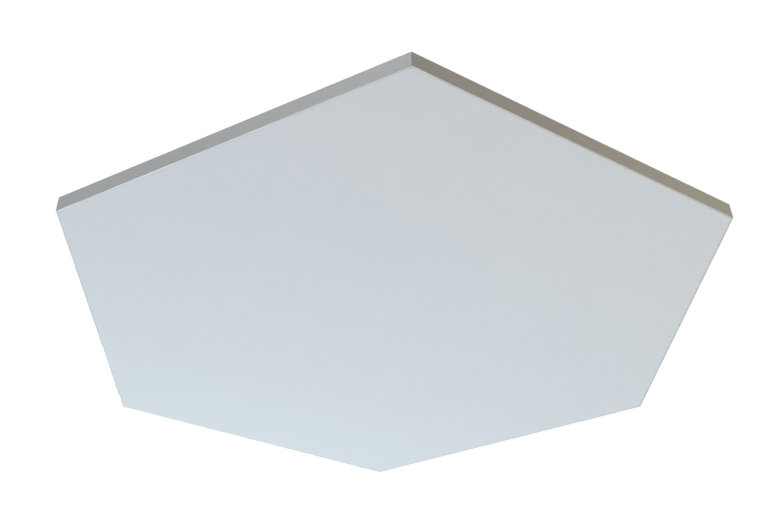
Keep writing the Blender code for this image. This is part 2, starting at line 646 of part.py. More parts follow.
panel_sides = make_sides()
rail_mesh = mitred_bar("frame_rail", rail_section())
keder_mesh = mitred_bar("keder_strip", keder_section())
for index, panel_side in enumerate(panel_sides):
    make_rail(index, panel_side, anodised, rail_mesh)
    add_part(f"keder_strip_{index + 1}", keder_mesh, silicone, panel_side)
make_cleats(panel_sides, mill)
make_set_screws(panel_sides, dark_steel)
make_textile(textile_white)
make_boards(absorber_wool)
make_cross_bar(mill)
make_brackets(panel_sides, mill, zinc)
make_hangers(panel_sides, zinc, zinc, zinc)
bpy.context.view_layer.update()
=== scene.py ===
# %% [markdown]
# # Dressing a hexagonal acoustic ceiling panel
# The panel hangs face down. Its front is one pale textile, stretched over a mitred aluminium frame and
# pulled into a groove in each rail. Behind it lie two mineral fibre boards, a cross bar, and three swinging
# D rings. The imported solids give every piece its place, so this script starts by loading them. It keeps
# their box, because nothing that is added may change the size of the panel.

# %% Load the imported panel
import json
import math

import bmesh
import bpy
import numpy as np
from mathutils import Matrix, Vector
from mathutils.geometry import delaunay_2d_cdt


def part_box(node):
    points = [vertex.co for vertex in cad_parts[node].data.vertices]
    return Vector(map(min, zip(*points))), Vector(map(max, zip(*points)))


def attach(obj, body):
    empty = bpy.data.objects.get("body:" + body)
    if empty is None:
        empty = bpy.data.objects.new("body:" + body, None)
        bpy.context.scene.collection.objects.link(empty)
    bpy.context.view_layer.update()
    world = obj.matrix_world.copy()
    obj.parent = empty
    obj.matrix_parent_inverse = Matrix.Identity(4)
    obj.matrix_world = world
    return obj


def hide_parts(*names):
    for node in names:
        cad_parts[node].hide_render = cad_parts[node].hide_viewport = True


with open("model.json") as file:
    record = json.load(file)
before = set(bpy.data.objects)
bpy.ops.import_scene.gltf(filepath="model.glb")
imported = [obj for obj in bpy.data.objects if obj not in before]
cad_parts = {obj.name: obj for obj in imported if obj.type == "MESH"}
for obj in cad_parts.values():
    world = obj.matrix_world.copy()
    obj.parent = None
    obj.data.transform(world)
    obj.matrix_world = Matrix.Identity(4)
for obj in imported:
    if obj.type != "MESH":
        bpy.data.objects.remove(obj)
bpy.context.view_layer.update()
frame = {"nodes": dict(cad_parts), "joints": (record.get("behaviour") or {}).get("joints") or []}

nodes = frame["nodes"]

# %% [markdown]
# ## Sizes
# Nothing is measured twice. The first rail stands square to X, so its box gives the frame's outer face, its
# front plane and its back plane. All other sizes come from the boxes of the pieces that they belong to.

# %% Read the main sizes from the frame
SIDES = 6
SIDE_ANGLE = 2.0 * math.pi / SIDES
rail_low, rail_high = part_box("frame_rail_1")
APOTHEM = rail_high.x
FACE_Z = rail_low.z
BACK_Z = rail_high.z
MILLIMETRE = 0.001
print(f"frame {2 * APOTHEM:.4f} m across the flats, {BACK_Z - FACE_Z:.4f} m deep")

# %% [markdown]
# ## Camera
# The photograph looks up at the face from outside one corner. A pinhole camera was fitted to the nine
# corners of the panel that can be seen, which gave its place, its three turns and its focal length in
# pixels. The lens follows from the width of the picture, and no shift is needed.

# %% Place the camera
PICTURE_WIDTH = 783
FOCAL_PIXELS = 1002.6
SENSOR_MILLIMETRES = 36.0
CAMERA_PLACE = (-0.0896, -1.4763, -1.0122)
CAMERA_TURN = math.radians(-3.60)
CAMERA_PITCH = math.radians(37.21)
CAMERA_ROLL = math.radians(-1.76)


def place_camera():
    """A camera that looks along +Y, pitched up, turned about Z, then rolled about its own line of sight."""
    data = bpy.data.cameras.new("photo_camera")
    data.sensor_width = SENSOR_MILLIMETRES
    data.lens = FOCAL_PIXELS / PICTURE_WIDTH * SENSOR_MILLIMETRES
    camera = bpy.data.objects.new("photo_camera", data)
    bpy.context.scene.collection.objects.link(camera)
    turned = Matrix.Rotation(CAMERA_TURN, 4, "Z") @ Matrix.Rotation(math.pi / 2 + CAMERA_PITCH, 4, "X")
    camera.matrix_world = Matrix.Translation(CAMERA_PLACE) @ turned @ Matrix.Rotation(CAMERA_ROLL, 4, "Z")
    return camera


bpy.context.scene.camera = place_camera()
print(f"lens {bpy.context.scene.camera.data.lens:.2f} mm")

# %% [markdown]
# ## Shader values as Python expressions
# A procedural finish is arithmetic on patterns. Writing it with nodes by hand hides the formula, so one
# small class wraps a socket: the operators on it add Math nodes, and its method `node` adds any other node.

# %% A socket that takes part in expressions


def operator(operation, swapped=False):
    """A method that adds a Math node of this kind between a wire and a number or another wire."""
    def method(wire, other):
        return wire.math(operation, other, wire) if swapped else wire.math(operation, wire, other)
    return method


class Wire:
    """An output socket in a material. Operators on wires add Math nodes."""

    __add__ = __radd__ = operator("ADD")
    __mul__ = __rmul__ = operator("MULTIPLY")
    __sub__, __rsub__ = operator("SUBTRACT"), operator("SUBTRACT", swapped=True)
    largest, smallest = operator("MAXIMUM"), operator("MINIMUM")

    def __init__(self, tree, socket):
        self.tree = tree
        self.socket = socket

    def node(self, kind, inputs, output=0, **settings):
        """Any node: first its settings, then a value or a wire for each named input."""
        node = self.tree.nodes.new(kind)
        for name, value in settings.items():
            setattr(node, name, value)
        for name, value in inputs.items():
            if isinstance(value, Wire):
                self.tree.links.new(value.socket, node.inputs[name])
            else:
                node.inputs[name].default_value = value
        return Wire(self.tree, node.outputs[output])

    def math(self, operation, first, second=0.0):
        return self.node("ShaderNodeMath", {0: first, 1: second}, operation=operation)

    def __abs__(self):
        return self.math("ABSOLUTE", self)

    def sine(self):
        return self.math("SINE", self)

    def step(self, low, high):
        """0 below low, 1 above high, and smooth between. With low over high it falls instead."""
        return self.node("ShaderNodeMapRange", {0: self, 1: low, 2: high, 3: 0.0, 4: 1.0},
                         interpolation_type="SMOOTHSTEP")

    def part(self, axis):
        """One coordinate of a vector: 0, 1 or 2."""
        return self.node("ShaderNodeSeparateXYZ", {0: self}, output=axis)

    def turned(self, angle=0.0, scale=(1.0, 1.0, 1.0)):
        """A vector turned about Z, then scaled along its new axes."""
        spun = self.node("ShaderNodeVectorRotate", {"Vector": self, "Angle": angle}, rotation_type="Z_AXIS")
        return self.node("ShaderNodeVectorMath", {0: spun, 1: scale}, operation="MULTIPLY")

    def noise(self, scale, detail=2.0, roughness=0.5):
        """Smooth noise from 0 to 1, with this many cells to a metre."""
        return self.node("ShaderNodeTexNoise", {"Vector": self, "Scale": scale, "Detail": detail,
                                                "Roughness": roughness})

    def blend(self, low, high):
        """A colour between two, with this wire as the share of the second."""
        return self.node("ShaderNodeMix", {0: self, 6: low, 7: high}, output=2, data_type="RGBA")


def mixture(*patterns, middle=0.5):
    """A share from 0 to 1: the middle, plus what each pattern differs from a half, times its weight."""
    return sum(((pattern - 0.5) * weight for pattern, weight in patterns), middle).step(0.0, 1.0)


print("wires ready")

# %% [markdown]
# ## A finish
# Each finish is one Principled shader. Its constants go on the shader's own sockets. Only colour, roughness
# and bump vary over a surface, because those are what an exported model can keep.

# %% Start and end a finish


def start_finish(name, uv_map=None):
    """A new material and the coordinates that its pattern is drawn on, in metres: the place of each point on
    the object, or on the named UV map."""
    material = bpy.data.materials.new(name)
    material.use_nodes = True
    tree = material.node_tree
    if uv_map is None:
        return material, Wire(tree, tree.nodes.new("ShaderNodeTexCoord").outputs["Object"])
    layer = tree.nodes.new("ShaderNodeUVMap")
    layer.uv_map = uv_map
    return material, Wire(tree, layer.outputs["UV"])


def end_finish(material, colour, roughness, relief, depth, **constants):
    """Wires the patterns into the shader. depth is the height of the relief in metres."""
    tree = material.node_tree
    shader = tree.nodes["Principled BSDF"]
    tree.links.new(colour.socket, shader.inputs["Base Color"])
    tree.links.new(roughness.socket, shader.inputs["Roughness"])
    bump = relief.node("ShaderNodeBump", {"Strength": 1.0, "Distance": depth, "Height": relief})
    tree.links.new(bump.socket, shader.inputs["Normal"])
    for name, value in constants.items():
        shader.inputs[name.replace("_", " ")].default_value = value
    return material


def grey(level):
    return (level, level, level, 1.0)


print("finishes ready")

# %% [markdown]
# ## Mesh helpers
# Every new piece is a surface worked out as whole arrays: a grid of points, whose faces follow from the
# rows and columns alone. A closed skin has to face outwards. Its signed volume tells which way it faces,
# and the faces are turned round if the volume is negative.

# %% Grids and skins


def grid_faces(rows, columns, round_rows=False, round_columns=False):
    """The four-sided faces between neighbouring rows and columns of points."""
    index = np.arange(rows * columns).reshape(rows, columns)
    if round_rows:
        index = np.vstack([index, index[:1]])
    if round_columns:
        index = np.hstack([index, index[:, :1]])
    corners = [index[:-1, :-1], index[1:, :-1], index[1:, 1:], index[:-1, 1:]]
    return np.stack(corners, axis=-1).reshape(-1, 4)


def fan_faces(ring, tip):
    """Triangles from each edge of a closed ring of point numbers to one tip."""
    return np.stack([ring, np.roll(ring, -1), np.full_like(ring, tip)], axis=-1)


def closed_skin(rings):
    """Rings of points joined one to the next, and closed at both ends by a fan to the ring's middle."""
    rows, columns, _ = rings.shape
    points = np.vstack([rings.reshape(-1, 3), rings[0].mean(axis=0), rings[-1].mean(axis=0)])
    first = fan_faces(np.arange(columns), rows * columns)
    last = fan_faces(np.arange(columns)[::-1] + (rows - 1) * columns, rows * columns + 1)
    return points, [grid_faces(rows, columns, round_columns=True), first, last]


def signed_volume(points, faces):
    """The sum of the tetrahedra from the origin to each triangle. It is positive if the faces look out."""
    total = 0.0
    for group in faces:
        corner = points[group]
        for last in range(2, group.shape[1]):
            normal = np.cross(corner[:, last - 1] - corner[:, 0], corner[:, last] - corner[:, 0])
            total += np.einsum("ij,ij->", corner[:, 0], normal) / 6.0
    return total


def shaded_mesh(name, points, faces, material, sharp_degrees):
    """A mesh with smooth shading, apart from the edges that turn by more than this angle."""
    mesh = bpy.data.meshes.new(name)
    mesh.from_pydata(points, [], faces)
    mesh.materials.append(material)
    mesh.shade_smooth()
    mesh.set_sharp_from_angle(angle=math.radians(sharp_degrees))
    return mesh


def add_object(name, mesh, body, node):
    """An object at the origin, which rides on a body and stands for the CAD node named."""
    piece = bpy.data.objects.new(name, mesh)
    bpy.context.scene.collection.objects.link(piece)
    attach(piece, body)
    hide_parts(node)
    return piece


def add_piece(name, points, faces, material, body, node, sharp_degrees=35.0):
    """An object with a closed skin of these points and faces, turned so that the skin faces outwards."""
    if signed_volume(points, faces) < 0.0:
        faces = [group[:, ::-1] for group in faces]
    faces = [face for group in faces for face in group.tolist()]
    mesh = shaded_mesh(name, points.tolist(), faces, material, sharp_degrees)
    return add_object(name, mesh, body, node)


def arc(middle, radius, start, end, count):
    """Points on an arc between two angles in degrees, both ends included."""
    angle = np.radians(np.linspace(start, end, count))
    return np.stack([middle[0] + radius * np.cos(angle), middle[1] + radius * np.sin(angle)], axis=-1)


def line_points(start, end, step):
    """Points on a straight run, about a step apart, without the last."""
    start, end = np.array(start), np.array(end)
    count = max(2, math.ceil(np.linalg.norm(end - start) / step))
    return start + (end - start) * np.linspace(0.0, 1.0, count, endpoint=False)[:, None]


def crowded(first, count, power):
    """Shares from the first up to 1 that lie closer together towards 1."""
    return 1.0 - (1.0 - np.linspace(first, 1.0, count)) ** power


def soft_waves(x, y, wavelength, seed, waves=9):
    """A gentle random surface from -1 to 1: the mean of sine waves that run in random directions."""
    random = np.random.default_rng(seed)
    heading = random.uniform(0.0, 2.0 * math.pi, waves)
    rate = 2.0 * math.pi / (wavelength * random.uniform(0.7, 1.5, waves))
    start = random.uniform(0.0, 2.0 * math.pi, waves)
    along = x[..., None] * np.cos(heading) + y[..., None] * np.sin(heading)
    return np.sin(along * rate + start).mean(axis=-1)


print("mesh helpers ready")

# %% [markdown]
# ## Textile finish
# The front is a close plain weave of matt polyester yarn. Its threads lie 0.7 mm apart, so a camera a metre
# away sees one even tone, and the weave only shows close up. The pattern is drawn on the cut cloth: the UV
# map holds the place of each point on the flat cloth in metres, so the threads turn over the edge with the
# hem. A warp thread shows in one square, a weft thread in the next. A product of two sines changes sign
# from square to square, which is just what picks the thread that lies on top. Real threads wander a little,
# so a slow noise shifts them by up to a third of their pitch.

# %% The textile's weave
THREAD_PITCH = 0.7 * MILLIMETRE
THREAD_WANDER = 0.9 * MILLIMETRE    # the shift for the whole range of the noise, which it rarely uses
TEXTILE_COLOUR = (0.635, 0.648, 0.668, 1.0)
TEXTILE_SHADE = (0.595, 0.610, 0.635, 1.0)


def textile_finish():
    material, cloth = start_finish("stretched_textile", "flat_cloth")
    wander = (cloth.noise(90.0, 2.0) - 0.5) * THREAD_WANDER
    across = (cloth.part(0) + wander) * (math.pi / THREAD_PITCH)
    along = (cloth.part(1) - wander) * (math.pi / THREAD_PITCH)
    on_top = across.sine() * along.sine() * 0.5 + 0.5
    warp = abs(across.sine()) * on_top
    weft = abs(along.sine()) * (1.0 - on_top)
    thread = warp.largest(weft)
    slub = (cloth.turned(0.0, (1.0, 0.06, 1.0)).noise(900.0, 1.0)
            + cloth.turned(0.0, (0.06, 1.0, 1.0)).noise(900.0, 1.0))
    cloud = cloth.noise(7.0, 3.0)
    share = mixture((thread, 0.5), (cloud, 0.5), middle=0.45 + (slub - 1.0) * 0.9)
    colour = share.blend(TEXTILE_SHADE, TEXTILE_COLOUR)
    roughness = 0.86 + (slub - 1.0) * 0.1
    return end_finish(material, colour, roughness, thread + slub * 0.3, 0.09 * MILLIMETRE, Sheen_Weight=0.15,
                      Sheen_Roughness=0.5, Specular_IOR_Level=0.25)


textile_material = textile_finish()
print("weave", THREAD_PITCH, "m to a thread")

# %% [markdown]
# ## Stretched textile
# The cloth is a flat hexagon that is pulled over the frame, turned round the front edge of each groove and
# held there by its hem. Its outline is a hexagon whose corners are small arcs. The same outline, scaled from
# the middle out, gives the face. It is then carried round a quarter circle, and straight back along the
# hem. The face sags by a fraction of a millimetre, and its edge shows faint waves between the pulls.

# %% The outline of the cloth
textile_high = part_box("face_textile")[1]
TEXTILE_APOTHEM = textile_high.x
HEM_END_Z = textile_high.z
TEXTILE_THICKNESS = 0.5 * MILLIMETRE
TEXTILE_FOLD = 0.6 * MILLIMETRE
TEXTILE_CORNER = 2.5 * MILLIMETRE
TEXTILE_SAG = 0.4 * MILLIMETRE
PULL_HEIGHT = 0.05 * MILLIMETRE
PULL_SPACING = 0.045
PULL_FADE = 0.030
PULL_START = 0.004
PULL_SEED = 5
POINTS_PER_SIDE = 72
POINTS_PER_CORNER = 5


def hexagon_outline(apothem, corner, per_side, per_corner):
    """A hexagon with round corners: a smaller hexagon pushed outwards by the corner radius.
    Its sides stay straight, and each corner becomes a sixth of a circle."""
    facing = np.arange(SIDES)[:, None] * SIDE_ANGLE
    reach = (apothem - corner) * math.tan(SIDE_ANGLE / 2)
    along = np.linspace(-reach, reach, per_side)
    straight = np.stack([apothem * np.cos(facing) - along * np.sin(facing),
                         apothem * np.sin(facing) + along * np.cos(facing)], axis=-1)
    middle = (apothem - corner) / math.cos(SIDE_ANGLE / 2)
    turn = facing + np.linspace(0.0, SIDE_ANGLE, per_corner + 2)[1:-1]
    corners = np.stack([middle * np.cos(facing + SIDE_ANGLE / 2) + corner * np.cos(turn),
                        middle * np.sin(facing + SIDE_ANGLE / 2) + corner * np.sin(turn)], axis=-1)
    return np.concatenate([straight, corners], axis=1).reshape(-1, 2)


cloth_outline = hexagon_outline(TEXTILE_APOTHEM, TEXTILE_CORNER, POINTS_PER_SIDE, POINTS_PER_CORNER)
print("outline", len(cloth_outline), "points")

# %% The stretched face, its fold and its hem


def hexagon_distance(x, y):
    """How far a point lies from the middle towards the nearest side: the largest of its reaches along the
    six outward directions."""
    facing = np.arange(SIDES) * SIDE_ANGLE
    return (x[..., None] * np.cos(facing) + y[..., None] * np.sin(facing)).max(axis=-1)


def textile_section():
    """The cloth's section from the middle outwards: how far out, how far back, and the walk along it. The
    face runs out to the fold in rows that crowd towards it, a quarter circle leads round, and the hem runs
    straight back."""
    face_rows, fold_rows, hem_rows = 44, 7, 6
    flat_end = TEXTILE_APOTHEM - TEXTILE_FOLD
    face = flat_end * crowded(0.01, face_rows, 1.4)
    turn = np.linspace(0.0, math.pi / 2, fold_rows + 1)[1:]
    out = np.concatenate([face, flat_end + TEXTILE_FOLD * np.sin(turn), np.full(hem_rows, TEXTILE_APOTHEM)])
    hem = np.linspace(TEXTILE_FOLD, HEM_END_Z - FACE_Z, hem_rows + 1)[1:]
    back = np.concatenate([np.zeros(face_rows), TEXTILE_FOLD * (1.0 - np.cos(turn)), hem])
    lean = np.concatenate([np.zeros(face_rows), turn, np.full(hem_rows, math.pi / 2)])
    walked = out[0] + np.concatenate([[0.0], np.cumsum(np.hypot(np.diff(out), np.diff(back)))])
    return out, back, lean, walked


def textile_skin(outline):
    """Closed rings: the outer side from the middle to the end of the hem, then the inner side back again.
    A ring is the outline scaled to its distance out. The inner side is moved by the thickness, square to the
    section, and the face's sag and pull waves move both sides alike."""
    out, back, lean, walked = textile_section()
    inner_out = out - TEXTILE_THICKNESS * np.sin(lean)
    inner_back = back + TEXTILE_THICKNESS * np.cos(lean)
    out = np.concatenate([out, inner_out[::-1]])
    back = np.concatenate([back, inner_back[::-1]])
    walked = np.concatenate([walked, walked[::-1]])
    on_face = np.concatenate([lean == 0.0, lean[::-1] == 0.0])[:, None]
    plan = outline[None] * (out / TEXTILE_APOTHEM)[:, None, None]
    x, y = plan[..., 0], plan[..., 1]
    inwards = np.clip(TEXTILE_APOTHEM - TEXTILE_FOLD - hexagon_distance(x, y), 0.0, None)
    sag = TEXTILE_SAG * np.clip(1.0 - (np.hypot(x, y) / TEXTILE_APOTHEM) ** 2, 0.0, None)
    pulls = PULL_HEIGHT * soft_waves(x, y, PULL_SPACING, PULL_SEED) * np.exp(-inwards / PULL_FADE)
    pulls *= 1.0 - np.exp(-inwards / PULL_START)
    z = FACE_Z + back[:, None] + (pulls - sag) * on_face
    return np.stack([x, y, z], axis=-1), outline[None] * (walked / TEXTILE_APOTHEM)[:, None, None]


def make_textile():
    rings, flat = textile_skin(cloth_outline)
    points, faces = closed_skin(rings)
    piece = add_piece("textile_face", points, faces, textile_material, "panel", "face_textile")
    cloth = np.vstack([flat.reshape(-1, 2), np.zeros((2, 2))])
    loops = np.empty(len(piece.data.loops), np.int32)
    piece.data.loops.foreach_get("vertex_index", loops)
    piece.data.uv_layers.new(name="flat_cloth").data.foreach_set("uv", cloth[loops].ravel())
    return piece, flat


textile, flat_cloth = make_textile()

# %% [markdown]
# ## Absorber boards
# Each board is half a hexagon of pressed mineral fibre, 20 mm thick, with a pale tissue on its back. Its
# edge is cut with a long knife, so it shows fibres in faint layers, and its corners are a little crushed.
# The board's outline is carried round a section with soft edges, and the cut side is roughened by waves
# some millimetres long. The two ends are notched round the brackets.

# %% The finish of the boards
TISSUE_COLOUR = (0.66, 0.655, 0.63, 1.0)
TISSUE_THIN = (0.53, 0.515, 0.475, 1.0)
WOOL_COLOUR = (0.50, 0.455, 0.34, 1.0)
WOOL_DARK = (0.34, 0.30, 0.21, 1.0)
STRANDS = ((0.3, 520.0), (1.1, 610.0), (1.9, 470.0), (2.7, 560.0))     # direction, and cells to a metre
STRAND_WIDTH = 0.022


def fibres(place, angle, scale):
    """Fine, nearly straight lines, where a noise stretched along them passes through its middle value."""
    pattern = place.turned(angle, (1.0, 0.09, 1.0)).noise(scale, 1.0)
    return abs(pattern - 0.5).step(STRAND_WIDTH, 0.0)


def absorber_finish():
    material, place = start_finish("absorber_wool_and_tissue")
    tissue = place.node("ShaderNodeAttribute", {}, output=2, attribute_name="tissue")
    cloud = place.noise(110.0, 4.0, 0.6)
    mat = place.noise(520.0, 3.0, 0.7)
    strands = fibres(place, *STRANDS[0])
    for strand in STRANDS[1:]:
        strands = strands.largest(fibres(place, *strand))
    thin = mixture((cloud, 0.8), (mat, 0.9), middle=0.48 - strands * 0.25)
    tissue_colour = thin.blend(TISSUE_COLOUR, TISSUE_THIN)
    layers = place.turned(0.0, (0.05, 0.05, 1.0)).noise(700.0, 2.0)
    wool_colour = mixture((layers, 1.6), (mat, 1.2)).blend(WOOL_DARK, WOOL_COLOUR)
    colour = tissue.blend(wool_colour, tissue_colour)
    relief = tissue * (strands * 0.3 + mat * 0.6) + (1.0 - tissue) * (layers * 2.0 + mat * 3.0)
    return end_finish(material, colour, 0.95 - mat * 0.1, relief, 0.2 * MILLIMETRE, Specular_IOR_Level=0.2)


absorber_material = absorber_finish()
print("absorber finish ready")

# %% The shape of the boards
BOARD_EDGE = 1.6 * MILLIMETRE
BOARD_STEP = 0.0045
BOARD_GAP = 0.3 * MILLIMETRE        # between a notch and its bracket
CUT_ROUGHNESS = 0.35 * MILLIMETRE
CUT_WAVELENGTH = 0.012
TISSUE_WAVES = 0.25 * MILLIMETRE
TISSUE_WAVELENGTH = 0.060
BOARD_SEED = 20
RINGS_MIDDLE = 0.25                 # where the rings shrink to, as a share of the way from the long edge
FLAT_ROWS = 29
EDGE_ROWS = 5
CUT_ROWS = 7


def inward_normals(outline):
    """The unit vector at each point that leans inwards, square to the line between its neighbours."""
    tangent = np.roll(outline, -1, axis=0) - np.roll(outline, 1, axis=0)
    normal = np.stack([-tangent[:, 1], tangent[:, 0]], axis=-1)
    return normal / np.linalg.norm(normal, axis=1)[:, None]


def board_corners(board, bracket):
    """The half hexagon's corners in order, from the boxes of the board and of the bracket in its notch."""
    low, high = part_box(board)
    bracket_low, bracket_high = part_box(bracket)
    notch_x = bracket_low.x - BOARD_GAP
    notch_y = bracket_high.y + BOARD_GAP
    shoulder = high.x * math.tan(SIDE_ANGLE / 2)
    right = [(notch_x, low.y), (notch_x, notch_y), (high.x, notch_y), (high.x, shoulder)]
    return np.array(right + [(0.0, high.y)] + [(-x, y) for x, y in reversed(right)])


def board_rings(outline, low_z, high_z, seed):
    """Rings from the middle of the underside, round the edge, to the middle of the back.
    A ring is the outline moved inwards by an inset, then shrunk towards one inner point. The rounded edges
    are quarter circles, and the cut side is pushed in by random waves."""
    middle = np.array([0.0, outline[:, 1].max() * RINGS_MIDDLE + outline[:, 1].min()])
    turn = np.linspace(0.0, math.pi / 2, EDGE_ROWS)
    cut = np.linspace(low_z + BOARD_EDGE, high_z - BOARD_EDGE, CUT_ROWS + 2)[1:-1]
    flat = crowded(0.015, FLAT_ROWS + 1, 1.3)[:-1]
    shrink = np.concatenate([flat, np.ones(2 * EDGE_ROWS + CUT_ROWS), flat[::-1]])
    falling, rising = BOARD_EDGE * (1.0 - np.sin(turn)), BOARD_EDGE * (1.0 - np.cos(turn))
    rim = np.full(FLAT_ROWS, BOARD_EDGE)
    inset = np.concatenate([rim, falling, np.zeros(CUT_ROWS), rising, rim])
    z = np.concatenate([np.full(FLAT_ROWS, low_z), low_z + rising, cut, high_z - falling,
                        np.full(FLAT_ROWS, high_z)])
    normals = inward_normals(outline)
    lengths = np.concatenate([[0.0], np.cumsum(np.linalg.norm(np.diff(outline, axis=0), axis=1))])
    rough = soft_waves(lengths[None], z[:, None] * 4.0, CUT_WAVELENGTH, seed)
    rough = CUT_ROUGHNESS * (0.5 + 0.5 * rough) * (shrink[:, None] == 1.0)
    plan = outline[None] + normals[None] * (inset[:, None] + rough)[..., None]
    plan = middle + (plan - middle) * shrink[:, None, None]
    dip = TISSUE_WAVES * (0.5 + 0.5 * soft_waves(plan[..., 0], plan[..., 1], TISSUE_WAVELENGTH, seed + 1))
    height = z[:, None] - dip * (z[:, None] == high_z) + dip * (z[:, None] == low_z)
    tissue = np.broadcast_to(((shrink < 1.0) | (inset > 0.5 * BOARD_EDGE))[:, None], height.shape)
    return np.concatenate([plan, height[..., None]], axis=-1), tissue


def make_board(number, sign):
    """One board, made in the second board's box. A sign of -1 turns it half round, to the first's place."""
    low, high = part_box("absorber_board_2")
    corners = board_corners("absorber_board_2", "bar_bracket_1")
    edges = zip(corners, np.roll(corners, -1, axis=0))
    outline = np.vstack([line_points(start, end, BOARD_STEP) for start, end in edges])
    rings, tissue = board_rings(outline, low.z, high.z, BOARD_SEED + number)
    points, faces = closed_skin(rings)
    points[:, :2] *= sign
    piece = add_piece(f"wool_board_{number}", points, faces, absorber_material, "panel",
                      f"absorber_board_{number}")
    layer = piece.data.attributes.new("tissue", "FLOAT", "POINT")
    layer.data.foreach_set("value", np.append(tissue.ravel(), [True, True]).astype(np.float32))
    print(piece.name, len(points), "points")


make_board(1, -1.0)
make_board(2, 1.0)

# %% [markdown]
# ## Rail finish
# The rails are extruded aluminium, etched and anodised to a soft satin grey. Drawing lines run along each
# rail, too fine to see from a step away. The long arrises are rubbed brighter by handling. The narrow lip
# round the textile is a painted highlight: it is coloured much lighter, a little patchy, to stand in for
# light on it. The pattern is drawn on Object coordinates that are turned with each side of the hexagon,
# so X points out through the rail and Y runs along it.

# %% Anodised rails
ANODISED_LIGHT = (0.300, 0.288, 0.268, 1.0)
ANODISED_DARK = (0.262, 0.251, 0.233, 1.0)
ANODISED_WORN = (0.46, 0.45, 0.435, 1.0)
# painted highlight: the lip's light colour stands in for light falling on it
LIP_PAINTED_HIGHLIGHT = (0.64, 0.63, 0.61, 1.0)
ARRIS = 0.5 * MILLIMETRE
LIP_WIDTH = 1.7 * MILLIMETRE        # from the rail's outer wall to the textile


def rail_finish(number):
    material, place = start_finish(f"anodised_rail_{number + 1}")
    local = place.turned(-SIDE_ANGLE * number)
    lines = local.turned(0.0, (1.0, 0.012, 1.0)).noise(2600.0, 3.0, 0.6)
    grain = local.noise(3800.0, 2.0, 0.6)
    cloud = local.turned(0.0, (1.0, 0.35, 1.0)).noise(16.0, 2.0)
    colour = mixture((lines, 0.7), (cloud, 0.8), (grain, 0.3)).blend(ANODISED_DARK, ANODISED_LIGHT)
    height, out = place.part(2), local.part(0)
    patchy = local.turned(0.0, (1.0, 0.25, 1.0)).noise(60.0, 3.0).step(0.42, 0.62)
    worn = (height - FACE_Z).smallest(BACK_Z - height).step(ARRIS, 0.2 * ARRIS)
    worn = worn * out.step(APOTHEM - 2.0 * ARRIS, APOTHEM - ARRIS) * (0.35 + patchy * 0.65)
    # painted highlight: the lip round the textile is coloured lighter, a little patchy, in place of light on
    # it
    lip_highlight = (height - FACE_Z).step(0.6 * ARRIS, 0.2 * ARRIS)
    lip_highlight = lip_highlight * out.step(APOTHEM - 1.2 * LIP_WIDTH, APOTHEM - LIP_WIDTH) * (0.8 + patchy * 0.2)
    colour = lip_highlight.blend(worn.blend(colour, ANODISED_WORN), LIP_PAINTED_HIGHLIGHT)
    roughness = 0.50 + (lines - 0.5) * 0.22 - worn.largest(lip_highlight) * 0.10
    relief = lines * 0.7 + grain * 0.3
    return end_finish(material, colour, roughness, relief, 0.03 * MILLIMETRE, Metallic=0.25)


rail_materials = [rail_finish(number) for number in range(SIDES)]
print(SIDES, "rails anodised")

# %% [markdown]
# ## Mill aluminium, zinc, black steel and silicone
# The bar, brackets and cleats are bare extrusions: brighter, with clear drawing lines. The plates, rings
# and screws are zinc plated, which gives a cool, slightly clouded shine. The set screws are black oxide.
# The keder strips are clear grey silicone, a little dusty.

# %% Finishes for the parts inside


def mill_finish(name, angle):
    """Bare extruded aluminium with its drawing lines along one direction."""
    material, place = start_finish(name)
    local = place.turned(-angle)
    lines = local.turned(0.0, (0.02, 1.0, 1.0)).noise(2200.0, 4.0, 0.65)
    smear = local.turned(0.0, (0.3, 1.0, 1.0)).noise(45.0, 3.0)
    colour = mixture((lines, 1.2), (smear, 0.8)).blend((0.50, 0.50, 0.50, 1.0), (0.66, 0.66, 0.65, 1.0))
    return end_finish(material, colour, 0.34 + lines * 0.16, lines, 0.04 * MILLIMETRE, Metallic=1.0)


def zinc_finish():
    """Bright zinc plate: pale blue-grey, with soft clouds and very fine barrel marks."""
    material, place = start_finish("bright_zinc")
    cloud = place.noise(160.0, 3.0, 0.6)
    marks = place.noise(2400.0, 3.0, 0.7)
    colour = mixture((cloud, 1.4), (marks, 0.5)).blend((0.47, 0.49, 0.51, 1.0), (0.64, 0.65, 0.66, 1.0))
    roughness = 0.24 + cloud * 0.16 + marks * 0.06
    return end_finish(material, colour, roughness, marks, 0.02 * MILLIMETRE, Metallic=1.0)


def black_oxide_finish():
    """Oiled black oxide, with a brown cast where it is thin."""
    material, place = start_finish("black_oxide")
    cloud = place.noise(700.0, 3.0, 0.6)
    colour = cloud.step(0.35, 0.75).blend((0.030, 0.031, 0.034, 1.0), (0.075, 0.066, 0.058, 1.0))
    return end_finish(material, colour, 0.34 + cloud * 0.22, cloud, 0.02 * MILLIMETRE, Metallic=0.8)


def silicone_finish():
    """Clear grey silicone with a trace of dust."""
    material, place = start_finish("grey_silicone")
    dust = place.noise(900.0, 3.0, 0.6)
    colour = dust.step(0.35, 0.70).blend((0.56, 0.575, 0.58, 1.0), (0.66, 0.665, 0.66, 1.0))
    return end_finish(material, colour, 0.38 + dust * 0.25, dust, 0.04 * MILLIMETRE, Subsurface_Weight=0.12,
                      Subsurface_Scale=0.002)


zinc_material = zinc_finish()
black_material = black_oxide_finish()
silicone_material = silicone_finish()
for number in range(1, SIDES + 1):
    nodes[f"keder_strip_{number}"].material_slots[0].material = silicone_material
print("inner finishes ready")

# %% [markdown]
# ## Rails, brackets, bar and cleats
# These are extruded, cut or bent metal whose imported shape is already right, down to the holes. What a plain
# solid lacks is the tiny round on every edge that catches the light. Where two rails meet at a mitre, the
# rounds also draw the fine line of the joint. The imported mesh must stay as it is, so each piece is a welded
# copy of it with a Bevel modifier, which only rounds edges that turn by more than forty degrees.

# %% Copies with softened edges
BEVEL_DEGREES = 40.0
BEVEL_SEGMENTS = 2
EXTRUSION_ROUND = 0.2 * MILLIMETRE
CLEAT_ROUND = 0.3 * MILLIMETRE


